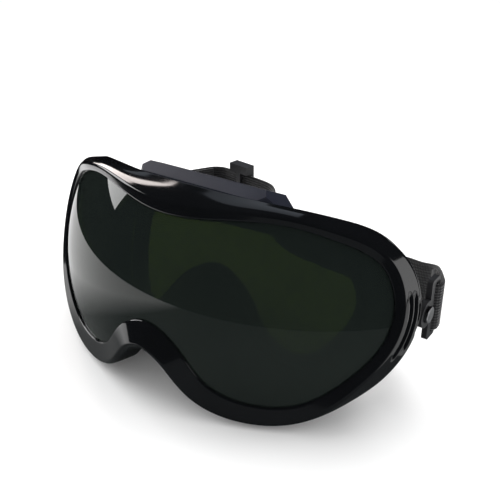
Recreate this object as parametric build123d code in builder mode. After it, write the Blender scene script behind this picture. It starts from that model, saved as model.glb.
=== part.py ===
from build123d import *
from copy import copy
from math import cos, sin, sqrt
import os

# Panoramic welding goggles. The goggles are drawn upright and then leaned back on to the table.
# X is the wearer's left, the lens faces -Y and +Z is up. The middle of the lens front is the
# drawing's zero. The headband is drawn in a frame of its own: zero midway between the two clip
# pins, +Y towards the back of the head and +Z along the width of the band.

# ---------------------------------------------------------------- driving dimensions, mm
lens_radius = 110.6  # horizontal wrap of the lens front
lens_crown = 96.0  # vertical curve of the lens front
lens_thickness = 2.4
lens_overlap = 2.2  # lens hidden under the bezel lip

bezel_lip_gap = 0.15
bezel_lip = 0.9
bezel_wall = 2.2
bezel_pocket = 4.3  # inner wall of the bezel at the lens front, measured out from the opening

gasket_thickness = 1.2
gasket_width = 2.6
gasket_inset = 0.3
seat_gap = 0.1  # gap between stacked seats

body_wall = 2.2
body_seat = 4.8  # outer wall of the body at its front, measured out from the opening
body_lip = 2.0
flange_thickness = 2.0
flange_width = 7.0
foam_thickness = 8.0
foam_width = 10.0
foam_gap = 0.3  # glue between the flange and the foam
face_depth = 37.0  # middle of the face flange behind the lens front
face_radius = 105.0

vent_width = 70.0
vent_corner = 7.0  # cut across the corners of the vent cover
vent_slope = 6.5  # each end leans in by this much at the crest
vent_front = 21.5
vent_crest = 26.5
vent_back = 38.0
vent_lip = 38.6
vent_height = 42.4
vent_back_height = 40.2
vent_wall = 1.6
vent_root = 22.0  # below the outside of the body
filter_gap = 0.4
filter_top = 37.0

low_vent_width = 22.0
low_vent_middle = 45.0  # centre of each lower vent from the middle
low_vent_front = 35.5
low_vent_back = 43.5
low_vent_front_height = -39.6
low_vent_back_height = -37.4
low_vent_wall = 1.2
low_vent_root = -18.0  # above the outside of the body

pin_depth = 56.0  # clip pin behind the lens front
pin_height = 6.0
pin_radius = 2.0
pin_head_radius = 3.4
pin_head = 1.2
pin_length = 8.0  # of the shank inside the side mount
pin_fit = 0.05
mount_face = 86.0  # outer face of the side mount from the middle
mount_length = 9.0
mount_height = 14.0
mount_corner = 3.0
mount_root = 68.0
boss_radius = 4.6  # round end of the mount, inside the fold of the band
boss_length = 4.5
washer_radius = 4.0
washer_thickness = 0.6
clip_thickness = 2.2
clip_radius = 5.5
clip_end = 2.3  # frame of the clip above and below the band
clip_bar = 2.0
clip_bar_offset = 8.5  # strap bar behind the clip pin
clip_slot = 2.3
clip_gap = 0.15

band_width = 20.0
band_thickness = 1.5
band_slack = 0.7  # side clearance of the band in a clip or slider
band_fold = 2.2  # centre line of the band round a clip bar
stitch_size = 1.8
stitch_thickness = 0.7
stitch_proud = 0.35
stitch_rows = 7
stitch_pitch = 2.4
stitch_columns = 4.0
stitch_place = 9.5  # middle of the stitching along the band from the clip bar

slider_length = 12.0
slider_height = 30.0
slider_bar = 2.6
slider_bar_thickness = 1.6
slider_gap = 0.35

lean = 14.57  # degrees the goggles lean back at rest

# Lens opening, right half from the brow to the nose: distance round the lens from the middle and
# height. Then the bezel there, each as distance out from the opening and height off the lens:
# front ridge, shoulder and rear rim.
stations = (
    (0.0, 28.7, (4.0, 2.6), (8.5, -0.6), (14.0, -6.0)),
    (24.0, 31.2, (3.3, 2.6), (6.8, -0.6), (11.2, -6.0)),
    (48.0, 33.6, (2.5, 2.4), (5.2, -0.4), (8.2, -6.0)),
    (71.0, 30.8, (3.0, 2.6), (6.0, 0.0), (9.6, -6.5)),
    (87.5, 23.8, (4.4, 2.8), (8.6, 1.0), (11.0, -7.0)),
    (93.2, 12.0, (5.4, 3.0), (10.0, 1.2), (11.6, -7.0)),
    (91.8, -3.0, (5.4, 3.2), (9.4, 1.2), (11.2, -7.0)),
    (83.4, -16.6, (5.6, 3.4), (9.0, 1.2), (11.0, -7.5)),
    (65.5, -32.9, (5.6, 3.8), (7.4, 2.0), (9.6, -8.0)),
    (45.3, -37.0, (6.6, 4.0), (8.2, 2.4), (10.0, -8.5)),
    (26.4, -31.9, (7.6, 4.2), (9.4, 2.6), (10.6, -7.5)),
    (15.2, -20.5, (8.4, 4.4), (10.2, 2.8), (11.6, -6.0)),
    (0.0, -13.4, (9.0, 4.8), (10.8, 3.2), (12.4, -5.0)),
)

# Half outline of the face opening, from the brow to the nose, seen from the front.
face_outline = (
    (0, 26),
    (28, 26.5),
    (48, 22),
    (61, 12),
    (65, -2),
    (60, -19),
    (46, -32.4),
    (30, -26.5),
    (15, -10),
    (0, -1),
)

# Centre line of the band in plan, from behind the left clip round the back to the right one.
band_route = (
    (81.0, 27.0),
    (66.0, 33.0),
    (34.0, 37.0),
    (6.0, 37.5),
    (-7.0, 42.0),
    (-16.0, 55.0),
    (-54.0, 61.0),
    (-64.0, 44.0),
    (-84.0, 24.0),
)
band_radii = (14.0, 30.0, 60.0, 26.0, 12.0, 9.0, 9.0, 30.0, 18.0)
# How far the band hangs below the clip pins, at places from right to left.
band_sags = ((-20.0, 0.0), (-4.0, 3.5), (25.0, 6.5), (60.0, 7.5), (75.0, 5.5), (87.0, 0.0))
band_reach = 100.0  # to either side, past the folds
slider_corner_points = (6, 5)  # corners of the route at the ends of the slider's straight run
slider_place = 0.42  # slider centre as a share of that run


# ---------------------------------------------------------------- lens surface
def on_lens(arc, height):
    """Point of the lens front, from the distance round the lens and the height."""
    turn = arc / lens_radius
    reach = lens_radius - lens_crown + sqrt(lens_crown**2 - height**2)
    return Vector(reach * sin(turn), lens_radius - reach * cos(turn), height)


def seat_plane(arc, height, along):
    """Plane across the rim of the lens: x is outwards on the lens, y is forwards off it."""
    turn = arc / lens_radius
    fall = height / sqrt(lens_crown**2 - height**2)
    reach = (lens_radius - lens_crown + sqrt(lens_crown**2 - height**2)) / lens_radius
    round_lens = Vector(cos(turn), sin(turn), 0) * reach
    up_lens = Vector(-fall * sin(turn), fall * cos(turn), 1)
    tangent = (round_lens * along.X + up_lens * along.Y).normalized()
    tilt = sqrt(1 - (height / lens_crown) ** 2)
    forward = Vector(sin(turn) * tilt, -cos(turn) * tilt, height / lens_crown)
    return Plane(origin=on_lens(arc, height), x_dir=forward.cross(tangent), z_dir=tangent)


def half_curve(points):
    """Smooth right half of an outline that is level where it crosses the middle."""
    return Spline(*points, tangents=[(1, 0), (-1, 0)], mode=Mode.PRIVATE)


def grown_points(points, growth):
    """The same half outline moved outwards, one point at each of the old ones and between them."""
    half = half_curve(points)
    moved = []
    for step in range(2 * len(points) - 1):
        place = step / (2 * len(points) - 2)
        along = half % place
        moved.append(half @ place + Vector(-along.Y, along.X) * growth)
    return moved


def full_face(points, growth=0.0):
    """Face inside a half outline and its mirror image, moved outwards by the growth."""
    with BuildSketch() as shape:
        with BuildLine():
            add(half_curve(grown_points(points, growth)))
            mirror(about=Plane.YZ)
        make_face()
    return shape.sketch


def prism(points, growth=0.0):
    """The same face drawn out from in front of the lens to behind the face."""
    with BuildPart() as bar:
        with BuildSketch(Plane.XZ.offset(20)):
            add(full_face(points, growth))
        extrude(amount=-120)
    return bar.part


def polygon(corners):
    """Flat face with straight sides."""
    with BuildSketch() as shape:
        with BuildLine():
            Polyline(*corners, close=True)
        make_face()
    return shape.sketch


def rim_ring(section_at, stops):
    """Ring round the lens opening, from its section at each of the stations."""
    with BuildPart() as ring:
        for seat in stops:
            with BuildSketch(seat.plane):
                add(section_at(seat))
        loft()
        split(bisect_by=Plane.YZ)
        mirror(about=Plane.YZ)
    return ring.part


def behind_lens(depth):
    """Everything further back than this depth behind the lens front."""
    with BuildPart() as barrel:
        with BuildSketch(Plane.YZ):
            with Locations((lens_crown, 0)):
                Circle(lens_crown - depth)
            with Locations((lens_radius / 2 - 10, 0)):
                Rectangle(lens_radius + 20, 130, mode=Mode.INTERSECT)
        revolve(axis=Axis((0, lens_radius, 0), (0, 0, 1)))
    return barrel.part


class Seat:
    """One station of the lens opening, with its section plane and the bezel sizes there."""

    def __init__(self, arc, height, ridge, shoulder, rim):
        self.plane = seat_plane(arc, height, opening_curve.tangent_at(Vector(arc, height)))
        self.ridge, self.shoulder, self.rim = ridge, shoulder, rim
        self.far = self.face_point()

    def across(self):
        """The same station on the other side of the middle."""
        other = copy(self)
        origin, out, along = self.plane.origin, self.plane.x_dir, self.plane.z_dir
        other.plane = Plane(
            origin=(-origin.X, origin.Y, origin.Z),
            x_dir=(-out.X, out.Y, out.Z),
            z_dir=(along.X, -along.Y, -along.Z),
        )
        return other

    def face_point(self):
        """Where the section meets the face outline, in the section's own coordinates."""
        nearest = None
        for step in range(face_steps + 1):
            spot = face_curve @ (step / face_steps)
            depth = face_depth + face_radius - sqrt(face_radius**2 - spot.X**2)
            local = self.plane.to_local_coords(Vector(spot.X, depth, spot.Y))
            if nearest is None or abs(local.Z) + 0.2 * abs(local.X) < nearest[0]:
                nearest = (abs(local.Z) + 0.2 * abs(local.X), local)
        return nearest[1]


def halfway(before, after):
    """Station half way along the opening between two others, with their mean bezel sizes."""
    start = opening_curve.param_at_point(Vector(before[0], before[1]))
    end = opening_curve.param_at_point(Vector(after[0], after[1]))
    spot = opening_curve @ ((start + end) / 2)
    means = []
    for first, second in zip(before[2:], after[2:]):
        means.append(((first[0] + second[0]) / 2, (first[1] + second[1]) / 2))
    return (spot.X, spot.Y, *means)


face_steps = 400
face_curve = half_curve(face_outline)
opening_points = [(arc, height) for arc, height, *sizes in stations]
opening_curve = half_curve(opening_points)
seats = [Seat(*stations[0])]
for before, after in zip(stations, stations[1:]):
    seats.append(Seat(*halfway(before, after)))
    seats.append(Seat(*after))
seats = [seats[1].across(), *seats, seats[-2].across()]
named_seats = [seats[0], *seats[1:-1:2], seats[-1]]

# ---------------------------------------------------------------- lens, bezel and gasket
lens_edge = []
for spot in grown_points(opening_points, lens_overlap):
    edge = on_lens(spot.X, spot.Y)
    lens_edge.append((edge.X, edge.Z))
with BuildPart() as lens:
    add(prism(lens_edge))
    add(behind_lens(0), mode=Mode.INTERSECT)
    add(behind_lens(lens_thickness), mode=Mode.SUBTRACT)



def bezel_section(seat):
    """Front lip, rounded outside and thin rim of the bezel, open at the back."""
    rim_out, rim_back = seat.rim
    with BuildSketch() as shape:
        with BuildLine():
            Line((0, bezel_lip_gap), (0, bezel_lip))
            Spline((0, bezel_lip), seat.ridge, seat.shoulder, seat.rim)
            Line(seat.rim, (rim_out - bezel_wall, rim_back))
            Line((rim_out - bezel_wall, rim_back), (bezel_pocket, bezel_lip_gap))
            Line((bezel_pocket, bezel_lip_gap), (0, bezel_lip_gap))
        make_face()
    return shape.sketch


with BuildPart() as front_bezel:
    add(rim_ring(bezel_section, seats))

gasket_front = lens_thickness + seat_gap
gasket_back = gasket_front + gasket_thickness
body_front = gasket_back + seat_gap


def gasket_section(seat):
    """Flat strip behind the edge of the lens."""
    return polygon(
        [
            (gasket_inset, -gasket_front),
            (gasket_inset + gasket_width, -gasket_front),
            (gasket_inset + gasket_width, -gasket_back),
            (gasket_inset, -gasket_back),
        ]
    )


def body_section(seat):
    """Front lip behind the gasket, the wall running back, and the flange turned out at its end."""
    flange_front = seat.far.Y
    flange_back = seat.far.Y - flange_thickness
    return polygon(
        [
            (gasket_inset, -body_front),
            (body_seat, -body_front),
            (seat.far.X + body_wall / 2, flange_front),
            (seat.far.X + flange_width, flange_front),
            (seat.far.X + flange_width, flange_back),
            (seat.far.X - body_wall / 2, flange_back),
            (body_seat - body_wall, -body_front - body_lip),
            (gasket_inset, -body_front - body_lip),
        ]
    )


def foam_section(seat):
    """Strip of foam on the back of the flange."""
    front = seat.far.Y - flange_thickness - foam_gap
    outer = seat.far.X + flange_width
    return polygon(
        [
            (outer, front),
            (outer, front - foam_thickness),
            (outer - foam_width, front - foam_thickness),
            (outer - foam_width, front),
        ]
    )


with BuildPart() as lens_gasket:
    add(rim_ring(gasket_section, seats))

with BuildPart() as goggle_body:
    add(rim_ring(body_section, seats))

with BuildPart() as face_foam:
    add(rim_ring(foam_section, named_seats))


# ---------------------------------------------------------------- vents, drawn upright
def side_prism(points, width, middle=0.0):
    """Profile seen from the side, drawn out evenly to both sides of its middle."""
    with BuildPart() as bar:
        with BuildSketch(Plane.YZ.offset(middle)):
            with BuildLine():
                Polyline(*points, close=True)
            make_face()
        extrude(amount=width / 2, both=True)
    return bar.part


def top_vent_block(inset, top):
    """Block of the top vent, drawn in by the inset, with its root at the given height."""
    half = vent_width / 2 - inset
    front = vent_front + inset
    back = vent_back - inset
    crest = vent_height - 1.1 * inset
    lip = vent_lip - 0.6 * inset
    rear = vent_back_height - inset
    with BuildPart() as block:
        side = [(front, top), (front, lip), (vent_crest, crest), (back, rear), (back, top)]
        add(side_prism(side, 2 * half))
        with BuildSketch(Plane.XY):
            with BuildLine():
                Polyline(
                    (-half, back),
                    (-half, front + vent_corner),
                    (-half + vent_corner, front),
                    (half - vent_corner, front),
                    (half, front + vent_corner),
                    (half, back),
                    close=True,
                )
            make_face()
        extrude(amount=60, mode=Mode.INTERSECT)
        with BuildSketch(Plane.XZ):
            with BuildLine():
                Polyline(
                    (-half, top),
                    (-half, crest - vent_slope),
                    (-half + vent_slope, crest),
                    (half - vent_slope, crest),
                    (half, crest - vent_slope),
                    (half, top),
                    close=True,
                )
            make_face()
        extrude(amount=-2 * vent_back, mode=Mode.INTERSECT)
    return block.part


def low_vent_block(inset):
    """Block of the left lower vent, drawn in by the inset."""
    front = low_vent_front + inset
    back = low_vent_back - inset
    bottom = [
        (front, low_vent_root),
        (front, low_vent_front_height + 1.8 * inset),
        (back, low_vent_back_height + 0.7 * inset),
        (back, low_vent_root),
    ]
    return side_prism(bottom, low_vent_width - 2 * inset, low_vent_middle)


with BuildPart() as top_vent_cover:
    add(top_vent_block(0, vent_root))
    add(top_vent_block(vent_wall, vent_root - 1), mode=Mode.SUBTRACT)
    add(goggle_body.part, mode=Mode.SUBTRACT)
    add(solids().sort_by(Axis.Z)[-1], mode=Mode.REPLACE)

with BuildPart() as top_vent_filter:
    add(top_vent_block(vent_wall + filter_gap, vent_root))
    add(goggle_body.part, mode=Mode.SUBTRACT)
    add(solids().sort_by(Axis.Z)[-1], mode=Mode.REPLACE)
    split(bisect_by=Plane.XY.offset(filter_top), keep=Keep.BOTTOM)

with BuildPart() as lower_vent_cover_left:
    add(low_vent_block(0))
    add(low_vent_block(low_vent_wall), mode=Mode.SUBTRACT)
    add(goggle_body.part, mode=Mode.SUBTRACT)
    add(solids().sort_by(Axis.Z)[0], mode=Mode.REPLACE)

with BuildPart() as lower_vent_filter_left:
    add(low_vent_block(low_vent_wall + 0.2))
    add(goggle_body.part, mode=Mode.SUBTRACT)
    add(solids().sort_by(Axis.Z)[0], mode=Mode.REPLACE)

# ---------------------------------------------------------------- side mounts, drawn upright
pin_plane = Plane(origin=(0, pin_depth, pin_height), x_dir=(0, 1, 0), z_dir=(1, 0, 0))
with BuildPart() as side_mount_left:
    with BuildSketch(pin_plane.offset(mount_root)):
        RectangleRounded(mount_length, mount_height, mount_corner)
    extrude(amount=mount_face - boss_length - mount_root)
    with BuildSketch(pin_plane.offset(mount_face)):
        Circle(boss_radius)
    extrude(amount=-boss_length)
    add(goggle_body.part, mode=Mode.SUBTRACT)
    add(solids().sort_by(Axis.X)[-1], mode=Mode.REPLACE)
    with BuildSketch(pin_plane.offset(mount_face)):
        Circle(pin_radius)
    extrude(amount=-pin_length, mode=Mode.SUBTRACT)

# ---------------------------------------------------------------- clips, drawn in the band's frame
clip_inner = mount_face + washer_thickness + clip_gap
clip_outer = clip_inner + clip_thickness
clip_middle = (clip_inner + clip_outer) / 2
side_plane = Plane(origin=(0, 0, 0), x_dir=(0, 1, 0), z_dir=(1, 0, 0))
bar_back = clip_bar_offset + clip_bar / 2
slot_back = clip_bar_offset - clip_bar / 2
frame_height = band_width + 2 * band_slack + 2 * clip_end

with BuildPart() as strap_clip_left:
    with BuildSketch(side_plane.offset(clip_inner)):
        Circle(clip_radius)
        with Locations(((bar_back + pin_radius) / 2, 0)):
            RectangleRounded(bar_back - pin_radius, frame_height, 1.4)
        Circle(pin_radius + pin_fit, mode=Mode.SUBTRACT)
        with Locations((slot_back - clip_slot / 2, 0)):
            Rectangle(clip_slot, band_width + 2 * band_slack, mode=Mode.SUBTRACT)
    extrude(amount=clip_thickness)

with BuildPart() as clip_pins:
    with BuildSketch(side_plane.offset(clip_outer + clip_gap)):
        Circle(pin_head_radius)
    extrude(amount=pin_head)
    fillet(edges().group_by(Axis.X)[-1], 0.5)
    with BuildSketch(side_plane.offset(mount_face - pin_length)):
        Circle(pin_radius)
    extrude(amount=pin_length + clip_outer + clip_gap - mount_face)
    mirror(about=Plane.YZ)

with BuildPart() as clip_washers:
    with BuildSketch(side_plane.offset(mount_face)):
        Circle(washer_radius)
        Circle(pin_radius + pin_fit, mode=Mode.SUBTRACT)
    extrude(amount=washer_thickness)
    mirror(about=Plane.YZ)

# ---------------------------------------------------------------- headband
outer_layer = clip_middle + band_fold
inner_layer = clip_middle - band_fold
fold_front = clip_bar_offset - band_fold
fold_back = clip_bar_offset + band_fold
with BuildPart() as headband:
    with BuildSketch():
        with BuildLine() as centre_line:
            FilletPolyline(
                (81.9, 20.9),
                (inner_layer, fold_back),
                (inner_layer, fold_front),
                (outer_layer, fold_front),
                (outer_layer, fold_back),
                *band_route,
                (-outer_layer, fold_back),
                (-outer_layer, fold_front),
                (-inner_layer, fold_front),
                (-inner_layer, fold_back),
                (-81.6, 22.6),
                (-62.2, 42.6),
                (-54.4, 55.8),
                radius=(8, 1.9, 1.9, 8, *band_radii, 8, 1.9, 1.9, 8, 16, 25),
            )
        trace(line_width=band_thickness)
    extrude(amount=band_width, both=True)
    with BuildSketch(Plane.XZ):
        with BuildLine():
            for edge in (-band_width / 2, band_width / 2):
                Line((-band_reach, edge), (band_sags[0][0], edge))
                Spline(*[(place, edge - drop) for place, drop in band_sags], tangents=[(1, 0), (1, 0)])
                Line((band_sags[-1][0], edge), (band_reach, edge))
            Line((-band_reach, -band_width / 2), (-band_reach, band_width / 2))
            Line((band_reach, -band_width / 2), (band_reach, band_width / 2))
        make_face()
    extrude(amount=150, both=True, mode=Mode.INTERSECT)

run_start = Vector(*band_route[slider_corner_points[0]])
run_end = Vector(*band_route[slider_corner_points[1]])
run_along = (run_end - run_start).normalized()
slider_middle = run_start + (run_end - run_start) * slider_place
slider_plane = Plane(origin=slider_middle, x_dir=run_along, z_dir=(0, 0, 1))

bar_reach = band_thickness / 2 + slider_gap
rail_height = (slider_height - band_width) / 2 - band_slack
with BuildPart(slider_plane) as strap_slider:
    with Locations((0, 0, slider_height / 2 - rail_height / 2), (0, 0, rail_height / 2 - slider_height / 2)):
        Box(slider_length, 2 * (bar_reach + slider_bar_thickness), rail_height)
    end_bar = slider_length / 2 - slider_bar / 2
    outer_bar = bar_reach + slider_bar_thickness / 2
    with Locations((-end_bar, outer_bar, 0), (end_bar, outer_bar, 0)):
        Box(slider_bar, slider_bar_thickness, slider_height)
    with Locations((0, -bar_reach - slider_bar_thickness / 2, 0)):
        Box(slider_bar, slider_bar_thickness, slider_height)

stitch_start = Vector(outer_layer, fold_back)
stitch_line = (Vector(*band_route[0]) - stitch_start).normalized()
stitch_normal = Vector(stitch_line.Y, -stitch_line.X)
stitch_plane = Plane(
    origin=stitch_start + stitch_line * stitch_place + stitch_normal * band_thickness / 2,
    x_dir=stitch_line,
    z_dir=stitch_normal,
)
with BuildPart() as headband_stitching:
    with BuildSketch(stitch_plane):
        with GridLocations(stitch_columns, stitch_pitch, 2, stitch_rows):
            Rectangle(stitch_thickness, stitch_size)
    extrude(amount=stitch_proud)


# ---------------------------------------------------------------- both sides, placing and export
def mirrored(piece):
    """The same piece for the other side."""
    with BuildPart() as other:
        add(mirror(piece.part, about=Plane.YZ, mode=Mode.PRIVATE))
    return other


goggle_pieces = {
    "lens": lens,
    "front_bezel": front_bezel,
    "lens_gasket": lens_gasket,
    "goggle_body": goggle_body,
    "face_foam": face_foam,
    "top_vent_cover": top_vent_cover,
    "top_vent_filter": top_vent_filter,
    "lower_vent_cover_left": lower_vent_cover_left,
    "lower_vent_cover_right": mirrored(lower_vent_cover_left),
    "lower_vent_filter_left": lower_vent_filter_left,
    "lower_vent_filter_right": mirrored(lower_vent_filter_left),
    "side_mount_left": side_mount_left,
    "side_mount_right": mirrored(side_mount_left),
}
band_pieces = {
    "clip_pins": clip_pins,
    "clip_washers": clip_washers,
    "strap_clip_left": strap_clip_left,
    "strap_clip_right": mirrored(strap_clip_left),
    "headband": headband,
    "headband_stitching": headband_stitching,
    "strap_slider": strap_slider,
}

leaned_goggles = Location((0, 0, 0), (-lean, 0, 0))
pin_middle = leaned_goggles * Location((0, pin_depth, pin_height))
level_band = Location(pin_middle.position)

os.makedirs("parts", exist_ok=True)
placed = {}
for name, piece in goggle_pieces.items():
    placed[name] = leaned_goggles * piece.part
for name, piece in band_pieces.items():
    placed[name] = level_band * piece.part
boxes = [piece.bounding_box() for piece in placed.values()]
middle = (min(box.min.Y for box in boxes) + max(box.max.Y for box in boxes)) / 2
stand = Location((0, -middle, -min(box.min.Z for box in boxes)))
for name, piece in placed.items():
    piece = stand * piece
    piece.label = name
    export_step(piece, f"parts/{name}.step")
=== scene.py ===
from math import cos, hypot, pi, radians, sin, sqrt, tan

import bmesh
import bpy
import numpy as np
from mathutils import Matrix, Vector, noise


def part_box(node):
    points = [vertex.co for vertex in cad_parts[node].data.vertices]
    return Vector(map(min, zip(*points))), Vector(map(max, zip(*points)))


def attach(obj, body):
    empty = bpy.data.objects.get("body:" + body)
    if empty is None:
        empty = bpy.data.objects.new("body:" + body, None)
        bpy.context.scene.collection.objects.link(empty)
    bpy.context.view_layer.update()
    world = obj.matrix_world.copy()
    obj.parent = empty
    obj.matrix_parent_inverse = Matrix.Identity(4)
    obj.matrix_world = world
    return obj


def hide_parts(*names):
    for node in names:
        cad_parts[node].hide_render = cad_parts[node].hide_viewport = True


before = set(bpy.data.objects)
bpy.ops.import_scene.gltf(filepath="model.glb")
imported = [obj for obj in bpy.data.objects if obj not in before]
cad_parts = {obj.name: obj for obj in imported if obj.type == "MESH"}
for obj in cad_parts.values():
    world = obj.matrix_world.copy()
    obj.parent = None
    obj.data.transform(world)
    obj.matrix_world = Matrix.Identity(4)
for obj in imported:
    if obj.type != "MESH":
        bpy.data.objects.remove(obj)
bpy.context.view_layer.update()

# The goggles are drawn upright in millimetres, as the CAD is, and leaned back into the row frame.
mm = 0.001
lean = radians(14.57)
lens_radius = 110.6
lens_crown = 96.0
lens_thickness = 2.4
lens_front_zero = 2.73
lens_low_zero = 43.28
lens_low, lens_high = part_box("lens")
zero = Vector((0, lens_low[1] + lens_front_zero * mm, lens_low[2] + lens_low_zero * mm))

# Half outline of the lens opening: distance round the lens, height, then the bezel's front ridge,
# shoulder and rear rim, each as distance out from the opening and height off the lens.
stations = (
    (0.0, 28.7, (4.0, 2.6), (8.5, -0.6), (14.0, -6.0)),
    (24.0, 31.2, (3.3, 2.6), (6.8, -0.6), (11.2, -6.0)),
    (48.0, 33.6, (2.5, 2.4), (5.2, -0.4), (8.2, -6.0)),
    (71.0, 30.8, (3.0, 2.6), (6.0, 0.0), (9.6, -6.5)),
    (87.5, 23.8, (3.3, 2.6), (9.2, 0.8), (11.4, -7.0)),
    (93.2, 12.0, (3.0, 2.6), (10.9, 0.6), (12.2, -7.0)),
    (91.8, -3.0, (3.0, 2.6), (10.1, 0.6), (11.6, -7.0)),
    (83.4, -16.6, (3.6, 3.0), (9.8, 0.8), (11.4, -7.5)),
    (65.5, -32.9, (5.6, 3.8), (7.4, 2.0), (9.6, -8.0)),
    (45.3, -37.0, (6.6, 4.0), (8.2, 2.4), (10.0, -8.5)),
    (26.4, -31.9, (7.6, 4.2), (9.4, 2.6), (10.6, -7.5)),
    (15.2, -20.5, (8.4, 4.4), (10.2, 2.8), (11.6, -6.0)),
    (0.0, -13.4, (9.0, 4.8), (10.8, 3.2), (12.4, -5.0)),
)
face_outline = (
    (0, 26),
    (28, 26.5),
    (48, 22),
    (61, 12),
    (65, -2),
    (60, -19),
    (46, -32.4),
    (30, -26.5),
    (15, -10),
    (0, -1),
)
face_depth = 37.0
face_radius = 105.0
ring_steps = 480


# ---------------------------------------------------------------- curves and sweeps
def upright(points):
    """Points drawn upright in millimetres, in the row frame in metres."""
    points = np.asarray(points, float)
    out = np.empty_like(points)
    out[..., 0] = points[..., 0] * mm + zero.x
    out[..., 1] = (points[..., 1] * cos(lean) + points[..., 2] * sin(lean)) * mm + zero.y
    out[..., 2] = (points[..., 2] * cos(lean) - points[..., 1] * sin(lean)) * mm + zero.z
    return out


def closed_spline(knots, count):
    """Smooth closed curve through rows of numbers; the first two columns set its spacing."""
    knots = np.asarray(knots, float)
    steps = np.hypot(*(np.roll(knots, -1, 0) - knots)[:, :2].T)
    size = len(knots)
    system = np.zeros((size, size))
    right = np.zeros_like(knots)
    for row in range(size):
        before, after = steps[row - 1], steps[row]
        system[row, row - 1] = after
        system[row, row] = 2 * (before + after)
        system[row, (row + 1) % size] = before
        rise_before = (knots[row] - knots[row - 1]) / before
        rise_after = (knots[(row + 1) % size] - knots[row]) / after
        right[row] = 3 * (after * rise_before + before * rise_after)
    slopes = np.linalg.solve(system, right)
    starts = np.concatenate([[0], np.cumsum(steps)])
    places = np.arange(count) * starts[-1] / count
    span = np.clip(np.searchsorted(starts, places, "right") - 1, 0, size - 1)
    step = steps[span][:, None]
    share = (places - starts[span])[:, None] / step
    begin, end = knots[span], knots[(span + 1) % size]
    slope_begin, slope_end = slopes[span] * step, slopes[(span + 1) % size] * step
    square, cube = share**2, share**3
    return (
        (2 * cube - 3 * square + 1) * begin
        + (cube - 2 * square + share) * slope_begin
        + (3 * square - 2 * cube) * end
        + (cube - square) * slope_end
    )


def both_halves(rows):
    """Half an outline from top to bottom, with its mirror image added."""
    rows = [list(row) for row in rows]
    others = [[-row[0], *row[1:]] for row in rows[-2:0:-1]]
    return rows + others


def on_lens(arc, height):
    reach = lens_radius - lens_crown + np.sqrt(lens_crown**2 - height**2)
    turn = arc / lens_radius
    return np.stack([reach * np.sin(turn), lens_radius - reach * np.cos(turn), height], -1)


def lens_normal(arc, height):
    tilt = np.sqrt(1 - (height / lens_crown) ** 2)
    turn = arc / lens_radius
    return np.stack([np.sin(turn) * tilt, -np.cos(turn) * tilt, height / lens_crown], -1)


rim_rows = closed_spline(both_halves([(a, h, *r, *s, *m) for a, h, r, s, m in stations]), ring_steps)
window = np.hanning(27)
window /= window.sum()
for place in range(2, 8):
    wrapped = np.concatenate([rim_rows[-13:, place], rim_rows[:, place], rim_rows[:13, place]])
    rim_rows[:, place] = np.convolve(wrapped, window, "valid")
opening = rim_rows[:, :2]
edge_points = on_lens(opening[:, 0], opening[:, 1])
edge_forward = lens_normal(opening[:, 0], opening[:, 1])
edge_along = np.roll(edge_points, -1, 0) - np.roll(edge_points, 1, 0)
edge_along /= np.linalg.norm(edge_along, axis=1)[:, None]
edge_out = np.cross(edge_forward, edge_along)
edge_out /= np.linalg.norm(edge_out, axis=1)[:, None]


def face_curve_points():
    """Where the body meets the face, in each station's own section: distance out and forwards."""
    outline = closed_spline(both_halves(face_outline), 1600)
    depth = face_depth + face_radius - np.sqrt(face_radius**2 - outline[:, 0] ** 2)
    spots = np.stack([outline[:, 0], depth, outline[:, 1]], -1)
    found = []
    for point, out, forward, along in zip(edge_points, edge_out, edge_forward, edge_along):
        local = spots - point
        across = local @ out
        nearest = np.argmin(np.abs(local @ along) + 0.2 * np.abs(across))
        found.append((across[nearest], (local @ forward)[nearest]))
    found = np.array(found)
    window = np.hanning(23)
    window /= window.sum()
    wrapped = np.concatenate([found[-11:], found, found[:11]])
    return np.stack([np.convolve(wrapped[:, k], window, "valid") for k in range(2)], -1)


face_points = face_curve_points()


def column(out, forward):
    """One corner of a section all the way round the ring."""
    pair = np.empty((ring_steps, 2))
    pair[:, 0] = out
    pair[:, 1] = forward
    return pair


def rounded(corners, cuts, steps=5, split=1):
    """Closed section with its corners rounded, as an array of ring stations by section points."""
    rows = []
    count = len(corners)
    for index, (corner, cut) in enumerate(zip(corners, cuts)):
        before, after = corners[index - 1], corners[(index + 1) % count]
        reach_before = np.linalg.norm(before - corner, axis=1)[:, None]
        reach_after = np.linalg.norm(after - corner, axis=1)[:, None]
        start = corner + (before - corner) * np.minimum(cut / reach_before, 0.46)
        end = corner + (after - corner) * np.minimum(cut / reach_after, 0.46)
        for share in np.linspace(0, 1, steps):
            rows.append((1 - share) ** 2 * start + 2 * share * (1 - share) * corner + share**2 * end)
        next_cut = cuts[(index + 1) % count]
        following = corners[(index + 2) % count]
        next_start = after + (corner - after) * np.minimum(next_cut / reach_after, 0.46)
        for share in np.arange(1, split) / split:
            rows.append(end + (next_start - end) * share)
    return np.stack(rows, 1)


def swept(section):
    """Section points in the row frame, round the whole ring."""
    out, forward = section[..., 0:1], section[..., 1:2]
    return upright(edge_points[:, None] + edge_out[:, None] * out + edge_forward[:, None] * forward)


def mesh_piece(name, vertices, faces, smooth=True):
    mesh = bpy.data.meshes.new(name)
    mesh.from_pydata([tuple(v) for v in vertices], [], faces)
    mesh.update()
    obj = bpy.data.objects.new(name, mesh)
    bpy.context.collection.objects.link(obj)
    bm = bmesh.new()
    bm.from_mesh(mesh)
    bmesh.ops.recalc_face_normals(bm, faces=bm.faces)
    bm.to_mesh(mesh)
    bm.free()
    if smooth:
        mesh.polygons.foreach_set("use_smooth", [True] * len(mesh.polygons))
    return obj


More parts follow.
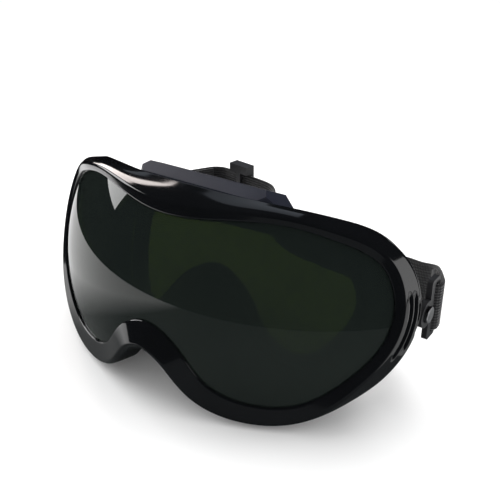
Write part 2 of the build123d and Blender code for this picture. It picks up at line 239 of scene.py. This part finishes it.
def closed_ring(name, grid):
    """Mesh of a grid of points that closes both ways."""
    stops, around = grid.shape[:2]
    faces = []
    for stop in range(stops):
        after = (stop + 1) % stops
        for place in range(around):
            beside = (place + 1) % around
            faces.append(
                (stop * around + place, after * around + place, after * around + beside, stop * around + beside)
            )
    return mesh_piece(name, grid.reshape(-1, 3), faces)


# ---------------------------------------------------------------- materials
def material(name, color, roughness, **sockets):
    """Principled material; returns it with its node tree and shader."""
    made = bpy.data.materials.new(name)
    made.use_nodes = True
    shader = made.node_tree.nodes["Principled BSDF"]
    shader.inputs["Base Color"].default_value = (*color, 1)
    shader.inputs["Roughness"].default_value = roughness
    for socket, value in sockets.items():
        shader.inputs[socket.replace("_", " ")].default_value = value
    return made, made.node_tree, shader


def link_noise(tree, scale, detail=4.0, stretch=(1, 1, 1)):
    """Noise in object coordinates; returns its value socket."""
    coordinates = tree.nodes.new("ShaderNodeTexCoord")
    mapping = tree.nodes.new("ShaderNodeMapping")
    mapping.inputs["Scale"].default_value = stretch
    texture = tree.nodes.new("ShaderNodeTexNoise")
    texture.inputs["Scale"].default_value = scale
    texture.inputs["Detail"].default_value = detail
    tree.links.new(coordinates.outputs["Object"], mapping.inputs["Vector"])
    tree.links.new(mapping.outputs["Vector"], texture.inputs["Vector"])
    return texture.outputs["Fac"]


def ranged(tree, value, low, high):
    """The value spread between two numbers."""
    spread = tree.nodes.new("ShaderNodeMapRange")
    spread.inputs["To Min"].default_value = low
    spread.inputs["To Max"].default_value = high
    tree.links.new(value, spread.inputs["Value"])
    return spread.outputs["Result"]


def mixed(tree, value, first, second):
    """Colour between two, by the value."""
    ramp = tree.nodes.new("ShaderNodeValToRGB")
    ramp.color_ramp.elements[0].color = (*first, 1)
    ramp.color_ramp.elements[1].color = (*second, 1)
    ramp.color_ramp.elements[0].position = 0.35
    ramp.color_ramp.elements[1].position = 0.65
    tree.links.new(value, ramp.inputs["Fac"])
    return ramp.outputs["Color"]


def bumped(tree, shader, value, strength, distance):
    bump = tree.nodes.new("ShaderNodeBump")
    bump.inputs["Strength"].default_value = strength
    bump.inputs["Distance"].default_value = distance
    tree.links.new(value, bump.inputs["Height"])
    tree.links.new(bump.outputs["Normal"], shader.inputs["Normal"])


def plastic(name, first, second, rough_low, rough_high, grain, bump=0.0, coat=0.0, level=0.5):
    """Moulded plastic: slight changes of colour and gloss, and a moulded grain."""
    made, tree, shader = material(name, first, rough_low, Coat_Weight=coat, Coat_Roughness=0.03, Specular_IOR_Level=level)
    value = link_noise(tree, grain)
    tree.links.new(mixed(tree, value, first, second), shader.inputs["Base Color"])
    tree.links.new(ranged(tree, value, rough_low, rough_high), shader.inputs["Roughness"])
    if bump:
        bumped(tree, shader, link_noise(tree, grain * 12, 6.0), bump, 0.0002)
    return made


def foam_material(name, dark, light, cell):
    """Open-cell foam: pores painted darker than their lighter walls, as painted shade in the hollows, with a bump to
    match.
    """
    made, tree, shader = material(name, dark, 0.95, Sheen_Weight=0.15)
    coordinates = tree.nodes.new("ShaderNodeTexCoord")
    cells = tree.nodes.new("ShaderNodeTexVoronoi")
    cells.inputs["Scale"].default_value = cell
    tree.links.new(coordinates.outputs["Object"], cells.inputs["Vector"])
    # Pores painted darker than their walls: painted shade in the hollows.
    tree.links.new(mixed(tree, cells.outputs["Distance"], dark, light), shader.inputs["Base Color"])
    bumped(tree, shader, cells.outputs["Distance"], 0.9, 0.0006)
    return made


def woven_material(name, dark, light):
    """Knitted elastic: fine ribs along the band and a finer weave across it, from its UV map, with painted shade in
    the troughs and a painted highlight on the crests.
    """
    made, tree, shader = material(name, dark, 0.85, Sheen_Weight=0.25, Sheen_Roughness=0.4)
    uv = tree.nodes.new("ShaderNodeUVMap")
    uv.uv_map = "band"
    parts = tree.nodes.new("ShaderNodeSeparateXYZ")
    tree.links.new(uv.outputs["UV"], parts.inputs["Vector"])

    def wave(axis, pitch):
        scaled = tree.nodes.new("ShaderNodeMath")
        scaled.operation = "MULTIPLY"
        scaled.inputs[1].default_value = 2 * pi / pitch
        wavy = tree.nodes.new("ShaderNodeMath")
        wavy.operation = "SINE"
        tree.links.new(parts.outputs[axis], scaled.inputs[0])
        tree.links.new(scaled.outputs[0], wavy.inputs[0])
        return wavy.outputs[0]

    woven = tree.nodes.new("ShaderNodeMath")
    woven.operation = "MULTIPLY_ADD"
    woven.inputs[1].default_value = 0.45
    tree.links.new(wave("X", 0.0009), woven.inputs[0])
    tree.links.new(wave("Y", 0.00125), woven.inputs[2])
    height = ranged(tree, woven.outputs[0], 0, 1)
    height.node.inputs["From Min"].default_value = -1.45
    height.node.inputs["From Max"].default_value = 1.45
    # Troughs painted darker and crests lighter: painted shade and highlight in the weave.
    tree.links.new(mixed(tree, height, dark, light), shader.inputs["Base Color"])
    bumped(tree, shader, height, 0.7, 0.0004)
    return made


def lens_material():
    """Dark green shade: mirror-smooth, and only a little light gets through."""
    made, tree, shader = material("shade_green", (0.012, 0.016, 0.014), 0.02, IOR=1.55)
    value = link_noise(tree, 18, 2.0)
    shade = mixed(tree, value, (0.010, 0.0135, 0.0125), (0.0125, 0.0165, 0.0145))
    tree.links.new(shade, shader.inputs["Base Color"])
    tree.links.new(ranged(tree, value, 0.012, 0.03), shader.inputs["Roughness"])
    clear = tree.nodes.new("ShaderNodeBsdfTransparent")
    clear.inputs["Color"].default_value = (0.25, 0.32, 0.10, 1)
    share = tree.nodes.new("ShaderNodeMixShader")
    share.inputs["Fac"].default_value = 0.25
    output = tree.nodes["Material Output"]
    tree.links.new(shader.outputs["BSDF"], share.inputs[1])
    tree.links.new(clear.outputs["BSDF"], share.inputs[2])
    tree.links.new(share.outputs["Shader"], output.inputs["Surface"])
    return made


shade_green = lens_material()
gloss_black = plastic("gloss_black", (0.0032, 0.0036, 0.0042), (0.0042, 0.0046, 0.0054), 0.06, 0.10, 30, level=0.5)
soft_black = plastic("soft_black", (0.014, 0.014, 0.016), (0.022, 0.022, 0.024), 0.42, 0.55, 60, 0.25)
rubber_black = plastic("rubber_black", (0.012, 0.012, 0.012), (0.020, 0.020, 0.020), 0.6, 0.75, 90, 0.3)
vent_blue = plastic("vent_blue", (0.016, 0.018, 0.028), (0.022, 0.025, 0.037), 0.30, 0.42, 50, 0.15)
satin_black = plastic("satin_black", (0.014, 0.014, 0.016), (0.020, 0.020, 0.022), 0.30, 0.42, 70, 0.15)
grey_nylon = plastic("grey_nylon", (0.20, 0.20, 0.20), (0.27, 0.27, 0.27), 0.35, 0.5, 90, 0.2)
pin_metal = plastic("pin_metal", (0.22, 0.22, 0.23), (0.32, 0.32, 0.33), 0.25, 0.4, 200, 0.1)
pin_metal.node_tree.nodes["Principled BSDF"].inputs["Metallic"].default_value = 1.0
face_foam_black = foam_material("face_foam_black", (0.010, 0.010, 0.011), (0.045, 0.045, 0.048), 900)
filter_grey = foam_material("filter_grey", (0.02, 0.02, 0.021), (0.08, 0.08, 0.085), 600)
elastic_black = woven_material("elastic_black", (0.006, 0.006, 0.007), (0.022, 0.022, 0.024))
thread_black = plastic("thread_black", (0.018, 0.018, 0.018), (0.035, 0.035, 0.035), 0.7, 0.9, 900, 0.5)


def finish_piece(obj, body, nodes, surface):
    """A piece that stands for CAD nodes, riding on their body."""
    obj.data.materials.clear()
    obj.data.materials.append(surface)
    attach(obj, body)
    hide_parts(*nodes)
    return obj


# ---------------------------------------------------------------- lens
def make_lens():
    """Both faces of the toric lens, joined round an edge hidden under the bezel."""
    overlap = 2.0
    rings = 36
    centre = np.array([0.0, 6.0])
    along = np.roll(opening, -1, 0) - np.roll(opening, 1, 0)
    along /= np.linalg.norm(along, axis=1)[:, None]
    edge = opening + np.stack([-along[:, 1], along[:, 0]], -1) * overlap
    grid = []
    for depth, order in ((0.0, range(1, rings + 1)), (lens_thickness, range(rings, 0, -1))):
        for ring in order:
            flat = centre + (edge - centre) * ring / rings
            spots = on_lens(flat[:, 0], flat[:, 1])
            grid.append(spots - lens_normal(flat[:, 0], flat[:, 1]) * depth)
    stack = np.stack(grid)
    count = ring_steps
    vertices = list(upright(stack.reshape(-1, 3)))
    faces = []
    for ring in range(len(grid) - 1):
        for place in range(count):
            beside = (place + 1) % count
            faces.append((ring * count + place, ring * count + beside, (ring + 1) * count + beside, (ring + 1) * count + place))
    for depth, ring in ((0.0, 0), (lens_thickness, len(grid) - 1)):
        middle = on_lens(centre[0:1], centre[1:2]) - lens_normal(centre[0:1], centre[1:2]) * depth
        vertices.append(upright(middle)[0])
        hub = len(vertices) - 1
        for place in range(count):
            faces.append((ring * count + place, ring * count + (place + 1) % count, hub))
    return finish_piece(mesh_piece("lens_shell", vertices, faces), "goggles", ["lens"], shade_green)


# ---------------------------------------------------------------- bezel
def make_bezel():
    """Front frame with a crisp ridge, soft brow, crisp side facets and three grooves each side."""
    lip_gap, lip, wall, pocket = 0.15, 0.9, 2.2, 4.3
    ridge, shoulder, rim = rim_rows[:, 2:4], rim_rows[:, 4:6], rim_rows[:, 6:8]
    side = np.clip((np.abs(opening[:, 0]) - 76) / 10, 0, 1)[:, None]
    corners = [
        column(0, lip_gap),
        column(0, lip),
        ridge,
        shoulder,
        rim,
        rim - np.array([wall, 0]),
        column(pocket, lip_gap),
    ]
    cuts = [0.1, 0.5, 0.9, 3.2 - 2.2 * side, 0.8, 0.6, 0.6]
    section = rounded(corners, cuts, steps=9, split=14)
    grid = swept(section)
    height = opening[:, 1][:, None]
    inward = -(edge_out[:, None] * 0.55 + edge_forward[:, None] * 0.83)
    depth = np.zeros(section.shape[:2])
    facet = section[..., 1] > -1.5
    for place, top, bottom in ((5.8, 14.6, -6.1), (8.0, 14.0, -2.4), (10.1, 12.5, 2.5)):
        across = np.clip(1 - np.abs(section[..., 0] - place) / 0.65, 0, 1)
        length = np.clip((top - height) / 0.8, 0, 1) * np.clip((height - bottom) / 0.8, 0, 1)
        depth += np.sqrt(across) * length * facet * (np.abs(opening[:, 0]) > 70)[:, None]
    moved = edge_points[:, None] + edge_out[:, None] * section[..., 0:1]
    moved = moved + edge_forward[:, None] * section[..., 1:2] + inward * depth[..., None] * 1.0
    grid = upright(moved)
    return finish_piece(closed_ring("bezel_frame", grid), "goggles", ["front_bezel"], gloss_black)


# ---------------------------------------------------------------- gasket, body and foam
gasket_front = lens_thickness + 0.1
gasket_back = gasket_front + 1.2
body_front = gasket_back + 0.1
body_wall = 2.2
body_seat = 4.8
flange_thickness = 2.0
flange_width = 7.0
foam_thickness = 8.0
foam_width = 10.0


def make_gasket():
    corners = [column(0.3, -gasket_front), column(2.9, -gasket_front), column(2.9, -gasket_back), column(0.3, -gasket_back)]
    ring = closed_ring("gasket_ring", swept(rounded(corners, [0.3] * 4, 3)))
    return finish_piece(ring, "goggles", ["lens_gasket"], rubber_black)


def make_body():
    """Soft body: a lip behind the gasket, a wall, and a rounded flange."""
    out, forward = face_points[:, 0], face_points[:, 1]
    corners = [
        column(0.3, -body_front),
        column(body_seat, -body_front),
        column(out + body_wall / 2, forward),
        column(out + flange_width, forward),
        column(out + flange_width, forward - flange_thickness),
        column(out - body_wall / 2, forward - flange_thickness),
        column(body_seat - body_wall, -body_front - 2.0),
        column(0.3, -body_front - 2.0),
    ]
    section = rounded(corners, [0.4, 0.9, 3.0, 0.9, 0.9, 1.0, 1.2, 0.6], 6, 10)
    grid = swept(section)
    return finish_piece(closed_ring("soft_body", grid), "goggles", ["goggle_body"], soft_black)


def make_foam():
    """Face foam with rounded edges and an uneven open-cell skin."""
    out, forward = face_points[:, 0], face_points[:, 1] - flange_thickness - 0.3
    outer = out + flange_width - 0.25
    corners = [
        column(outer, forward),
        column(outer, forward - foam_thickness),
        column(outer - foam_width, forward - foam_thickness),
        column(outer - foam_width, forward),
    ]
    section = rounded(corners, [0.8, 3.0, 3.0, 0.8], 7, 9)
    centre = section.mean(1, keepdims=True)
    grid = swept(section)
    middle = swept(centre)
    for row, stop in enumerate(grid):
        for place, spot in enumerate(stop):
            away = spot - middle[row, 0]
            away /= np.linalg.norm(away)
            pore = noise.noise(Vector(spot) * 900) * 0.16 + noise.noise(Vector(spot) * 260) * 0.18
            grid[row, place] = spot + away * (pore - 0.12) * mm
    ring = closed_ring("foam_seal", grid)
    return finish_piece(ring, "goggles", ["face_foam"], face_foam_black)


# ---------------------------------------------------------------- vent filters
def make_filter(node, name):
    """Block of coarse foam inside a vent cover, following its CAD block."""
    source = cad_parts[node]
    mesh = source.data.copy()
    obj = bpy.data.objects.new(name, mesh)
    bpy.context.collection.objects.link(obj)
    obj.matrix_world = source.matrix_world
    bm = bmesh.new()
    bm.from_mesh(mesh)
    bmesh.ops.remove_doubles(bm, verts=bm.verts, dist=1e-6)
    bmesh.ops.triangulate(bm, faces=bm.faces)
    bmesh.ops.subdivide_edges(bm, edges=[e for e in bm.edges if e.calc_length() > 1.5 * mm], cuts=3)
    bm.normal_update()
    for vertex in bm.verts:
        vertex.co -= vertex.normal * (0.15 + 0.12 * noise.noise(vertex.co * 700)) * mm
    bm.to_mesh(mesh)
    bm.free()
    return finish_piece(obj, "goggles", [node], filter_grey)


# ---------------------------------------------------------------- headband
clip_middle = 87.85
band_fold = 2.2
clip_bar_offset = 8.5
outer_layer = clip_middle + band_fold
inner_layer = clip_middle - band_fold
fold_front = clip_bar_offset - band_fold
fold_back = clip_bar_offset + band_fold
band_width = 20.0
band_thickness = 1.5
# How far the band hangs below the clip pins, at places from right to left.
band_sags = ((-20.0, 0.0), (-4.0, 3.5), (25.0, 6.5), (60.0, 7.5), (75.0, 5.5), (87.0, 0.0))
band_corners = (
    (81.9, 20.9, 0),
    (inner_layer, fold_back, 8),
    (inner_layer, fold_front, 1.9),
    (outer_layer, fold_front, 1.9),
    (outer_layer, fold_back, 8),
    (81.0, 27.0, 14),
    (66.0, 33.0, 30),
    (34.0, 37.0, 60),
    (6.0, 37.5, 26),
    (-7.0, 42.0, 12),
    (-16.0, 55.0, 9),
    (-54.0, 61.0, 9),
    (-64.0, 44.0, 30),
    (-84.0, 24.0, 18),
    (-outer_layer, fold_back, 8),
    (-outer_layer, fold_front, 1.9),
    (-inner_layer, fold_front, 1.9),
    (-inner_layer, fold_back, 8),
    (-81.6, 22.6, 16),
    (-62.2, 42.6, 25),
    (-54.4, 55.8, 0),
)
pins_low, pins_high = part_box("clip_pins")
pin_middle = (Vector(pins_low) + Vector(pins_high)) / 2


def band_line():
    """Centre line of the band in plan: straight runs with round corners, evenly sampled."""
    points = [np.array(band_corners[0][:2], float)]
    for before, corner, after in zip(band_corners, band_corners[1:], band_corners[2:]):
        spot, radius = np.array(corner[:2], float), corner[2]
        back = np.array(before[:2]) - spot
        onward = np.array(after[:2]) - spot
        back /= np.linalg.norm(back)
        onward /= np.linalg.norm(onward)
        half = np.arccos(np.clip(back @ onward, -1, 1)) / 2
        reach = radius / tan(half)
        bisector = (back + onward) / np.linalg.norm(back + onward)
        hub = spot + bisector * radius / sin(half)
        first = spot + back * reach - hub
        last = spot + onward * reach - hub
        sweep = pi - 2 * half
        turn = np.sign(first[0] * last[1] - first[1] * last[0])
        for share in np.linspace(0, 1, 13):
            angle = turn * sweep * share
            turned = (first[0] * cos(angle) - first[1] * sin(angle), first[0] * sin(angle) + first[1] * cos(angle))
            points.append(hub + np.array(turned))
    points.append(np.array(band_corners[-1][:2], float))
    points = np.array(points)
    lengths = np.concatenate([[0], np.cumsum(np.linalg.norm(np.diff(points, axis=0), axis=1))])
    places = np.linspace(0, lengths[-1], 700)
    return places, np.stack([np.interp(places, lengths, points[:, k]) for k in range(2)], -1)


def sag_at(x):
    """How far the band hangs below the clips, across the back."""
    return np.interp(x, [place for place, drop in band_sags], [drop for place, drop in band_sags])


def make_headband():
    places, line = band_line()
    kernel = np.hanning(41)
    kernel /= kernel.sum()
    sag = np.convolve(np.pad(sag_at(line[:, 0]), 20, "edge"), kernel, "valid")
    along = np.gradient(line, axis=0)
    along /= np.linalg.norm(along, axis=1)[:, None]
    side = np.stack([along[:, 1], -along[:, 0]], -1)
    half_width, half_thick = band_width / 2, band_thickness / 2
    bevel = 0.5
    ribs = 16
    outline = []
    for face in (1, -1):
        for step in range(ribs * 4 + 1):
            height = (step / (ribs * 4) * 2 - 1) * (half_width - bevel) * face
            rib = 0.10 * abs(sin(step / 4 * pi))
            outline.append((face * (half_thick - 0.12 + rib), height))
        outline.append((face * half_thick * 0.5, face * half_width))
        outline.append((-face * half_thick * 0.5, face * half_width))
    outline = np.array(outline)
    vertices, coordinates = [], []
    for place, spot, across, drop in zip(places, line, side, sag):
        for depth, height in outline:
            flat = spot + across * depth
            vertices.append((flat[0] * mm, pin_middle.y + flat[1] * mm, pin_middle.z + (height - drop) * mm))
            coordinates.append((place * mm, height * mm))
    count = len(outline)
    faces = []
    for step in range(len(line) - 1):
        for place in range(count):
            beside = (place + 1) % count
            faces.append((step * count + place, step * count + beside, (step + 1) * count + beside, (step + 1) * count + place))
    last = (len(line) - 1) * count
    faces.append(tuple(range(count)))
    faces.append(tuple(range(last + count - 1, last - 1, -1)))
    obj = mesh_piece("elastic_band", vertices, faces)
    layer = obj.data.uv_layers.new(name="band")
    for loop in obj.data.loops:
        layer.data[loop.index].uv = coordinates[loop.vertex_index]
    return finish_piece(obj, "headband", ["headband"], elastic_black)


def make_stitches():
    """Seven rows of two thread loops that hold the sewn end."""
    stitch_start = np.array([outer_layer, fold_back])
    run = np.array([81.0, 27.0]) - stitch_start
    run /= np.linalg.norm(run)
    normal = np.array([run[1], -run[0]])
    vertices, faces = [], []
    around, steps = 8, 9
    for row in range(7):
        for column_place in (-2.0, 2.0):
            middle = stitch_start + run * (9.5 + column_place) + normal * band_thickness / 2
            low = (row - 3) * 2.4
            start = len(vertices)
            for step in range(steps):
                share = step / (steps - 1) * 2 - 1
                radius = 0.32 * sqrt(max(1 - share**4, 0.04))
                for place in range(around):
                    angle = 2 * pi * place / around
                    lift = 0.05 + radius * cos(angle) * 0.8
                    flat = middle + run * radius * sin(angle) + normal * lift
                    height = low + share * 0.9
                    vertices.append((flat[0] * mm, pin_middle.y + flat[1] * mm, pin_middle.z + height * mm))
            for step in range(steps - 1):
                for place in range(around):
                    beside = (place + 1) % around
                    corner = start + step * around
                    faces.append((corner + place, corner + beside, corner + around + beside, corner + around + place))
            faces.append(tuple(range(start, start + around)))
            last = start + (steps - 1) * around
            faces.append(tuple(range(last + around - 1, last - 1, -1)))
    obj = mesh_piece("band_stitches", vertices, faces)
    return finish_piece(obj, "headband", ["headband_stitching"], thread_black)


# ---------------------------------------------------------------- hard CAD pieces
def dress(node, surface, bevel):
    """A CAD piece shown as it is, with softened edges and its own material."""
    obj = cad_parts[node]
    obj.data.materials.clear()
    obj.data.materials.append(surface)
    softened = obj.modifiers.new("edges", "BEVEL")
    softened.width = bevel * mm
    softened.segments = 3
    softened.limit_method = "ANGLE"
    softened.angle_limit = radians(30)
    softened.harden_normals = True


make_lens()
make_bezel()
make_gasket()
make_body()
make_foam()
make_filter("top_vent_filter", "top_filter_foam")
make_filter("lower_vent_filter_left", "low_filter_foam_left")
make_filter("lower_vent_filter_right", "low_filter_foam_right")
make_headband()
make_stitches()

dress("top_vent_cover", vent_blue, 0.5)
dress("lower_vent_cover_left", vent_blue, 0.3)
dress("lower_vent_cover_right", vent_blue, 0.3)
dress("side_mount_left", satin_black, 0.5)
dress("side_mount_right", satin_black, 0.5)
dress("clip_pins", pin_metal, 0.2)
dress("clip_washers", grey_nylon, 0.1)
dress("strap_clip_left", satin_black, 0.4)
dress("strap_clip_right", satin_black, 0.4)
dress("strap_slider", satin_black, 0.4)


# ---------------------------------------------------------------- stage, light and camera
def flat_piece(name, corners, surface):
    obj = mesh_piece(name, corners, [tuple(range(len(corners)))], smooth=False)
    obj.data.materials.append(surface)
    return obj


floor_white, floor_tree, floor_shader = material("floor_white", (0.93, 0.93, 0.93), 0.6)
floor_value = link_noise(floor_tree, 3)
floor_tree.links.new(
    mixed(floor_tree, floor_value, (0.925, 0.925, 0.925), (0.935, 0.935, 0.935)), floor_shader.inputs["Base Color"]
)
# Two sheets show only in gloss, as painted reflections. The round one under the goggles is white on the wearer's
# right and painted grey on the left, and the white one lies beyond it on the wearer's left. The wide floor round them
# doesn't show in reflections.
painted_reflection_sheet, sheet_tree, sheet_shader = material("painted_reflection_sheet", (0.93, 0.93, 0.93), 0.6)
sheet_place = sheet_tree.nodes.new("ShaderNodeTexCoord")
sheet_parts = sheet_tree.nodes.new("ShaderNodeSeparateXYZ")
sheet_tree.links.new(sheet_place.outputs["Object"], sheet_parts.inputs["Vector"])
# White on the wearer's right, painted grey on the left: painted shade for a darker reflection in the goggles' gloss.
painted_reflection_mask = ranged(sheet_tree, sheet_parts.outputs["X"], 1, 0)
painted_reflection_mask.node.inputs["From Min"].default_value = -0.19
painted_reflection_mask.node.inputs["From Max"].default_value = -0.01
sheet_tree.links.new(
    mixed(sheet_tree, painted_reflection_mask, (0.09, 0.10, 0.10), (0.93, 0.93, 0.93)), sheet_shader.inputs["Base Color"]
)
sheet_radius, sheet_sides = 0.29, 64
sheet_turns = [2 * pi * side / sheet_sides for side in range(sheet_sides)]
sheet_rim = [(sheet_radius * cos(turn), sheet_radius * sin(turn) - 0.03, 0) for turn in sheet_turns]
near_reflection_sheet = flat_piece("near_reflection_sheet", sheet_rim, painted_reflection_sheet)
far_reach = 12.0
far_corners = ((-far_reach, -far_reach), (far_reach, -far_reach), (far_reach, far_reach), (-far_reach, far_reach))
outer_floor = flat_piece("outer_floor", [(x, y, -0.1 * mm) for x, y in far_corners], floor_white)
# A white sheet beside the goggles, seen only in gloss: a painted reflection on the wearer's left.
side_corners = ((0.13, -0.05), (0.6, -0.05), (0.6, 0.5), (0.13, 0.5))
side_reflection_sheet = flat_piece("side_reflection_sheet", [(x, y, 0.1 * mm) for x, y in side_corners], floor_white)
for sheet in (near_reflection_sheet, side_reflection_sheet):
    sheet.visible_camera = False
    sheet.visible_diffuse = False
    sheet.visible_shadow = False
outer_floor.visible_glossy = False

world = bpy.data.worlds.new("studio")
world.use_nodes = True
world.node_tree.nodes["Background"].inputs["Color"].default_value = (1, 1, 1, 1)
world.node_tree.nodes["Background"].inputs["Strength"].default_value = 1.0
world.cycles_visibility.glossy = False
bpy.context.scene.world = world


def soft_box(name, place, target, width, height, power):
    """Rectangular soft light aimed at a point."""
    light = bpy.data.lights.new(name, "AREA")
    light.shape = "RECTANGLE"
    light.size = width
    light.size_y = height
    light.energy = power
    obj = bpy.data.objects.new(name, light)
    bpy.context.collection.objects.link(obj)
    obj.location = place
    obj.rotation_euler = (Vector(target) - Vector(place)).to_track_quat("-Z", "Y").to_euler()
    return obj


aim = (0, -0.02, 0.04)
top_light = soft_box("top_light", (0.25, 0.55, 1.0), aim, 0.7, 0.35, 5)
top_light.visible_glossy = False
soft_box("left_light", (-0.82, -0.07, 0.43), aim, 0.55, 0.50, 5)
soft_box("right_light", (0.92, 0.12, 0.22), aim, 0.50, 0.45, 1.6)
strip_light = soft_box("strip_light", (-0.70, 0.42, 0.40), aim, 0.10, 0.55, 1.3)
strip_light.data.color = (1.0, 0.91, 0.88)
rear_light = soft_box("rear_light", (-0.58, 0.83, 0.69), aim, 0.60, 0.50, 0.35)
rear_light.data.color = (0.80, 0.88, 1.0)

camera_data = bpy.data.cameras.new("camera")
camera_data.lens = 54
camera_data.sensor_width = 36
camera = bpy.data.objects.new("camera", camera_data)
bpy.context.collection.objects.link(camera)
camera.location = zero + Vector((171.3, -179.6, 141.2)) * mm
azimuth, elevation = radians(34.81), radians(26.99)
back = Vector((sin(azimuth) * cos(elevation), -cos(azimuth) * cos(elevation), sin(elevation)))
camera.rotation_euler = back.to_track_quat("Z", "Y").to_euler()
bpy.context.scene.camera = camera

bpy.context.scene.view_settings.view_transform = "Standard"
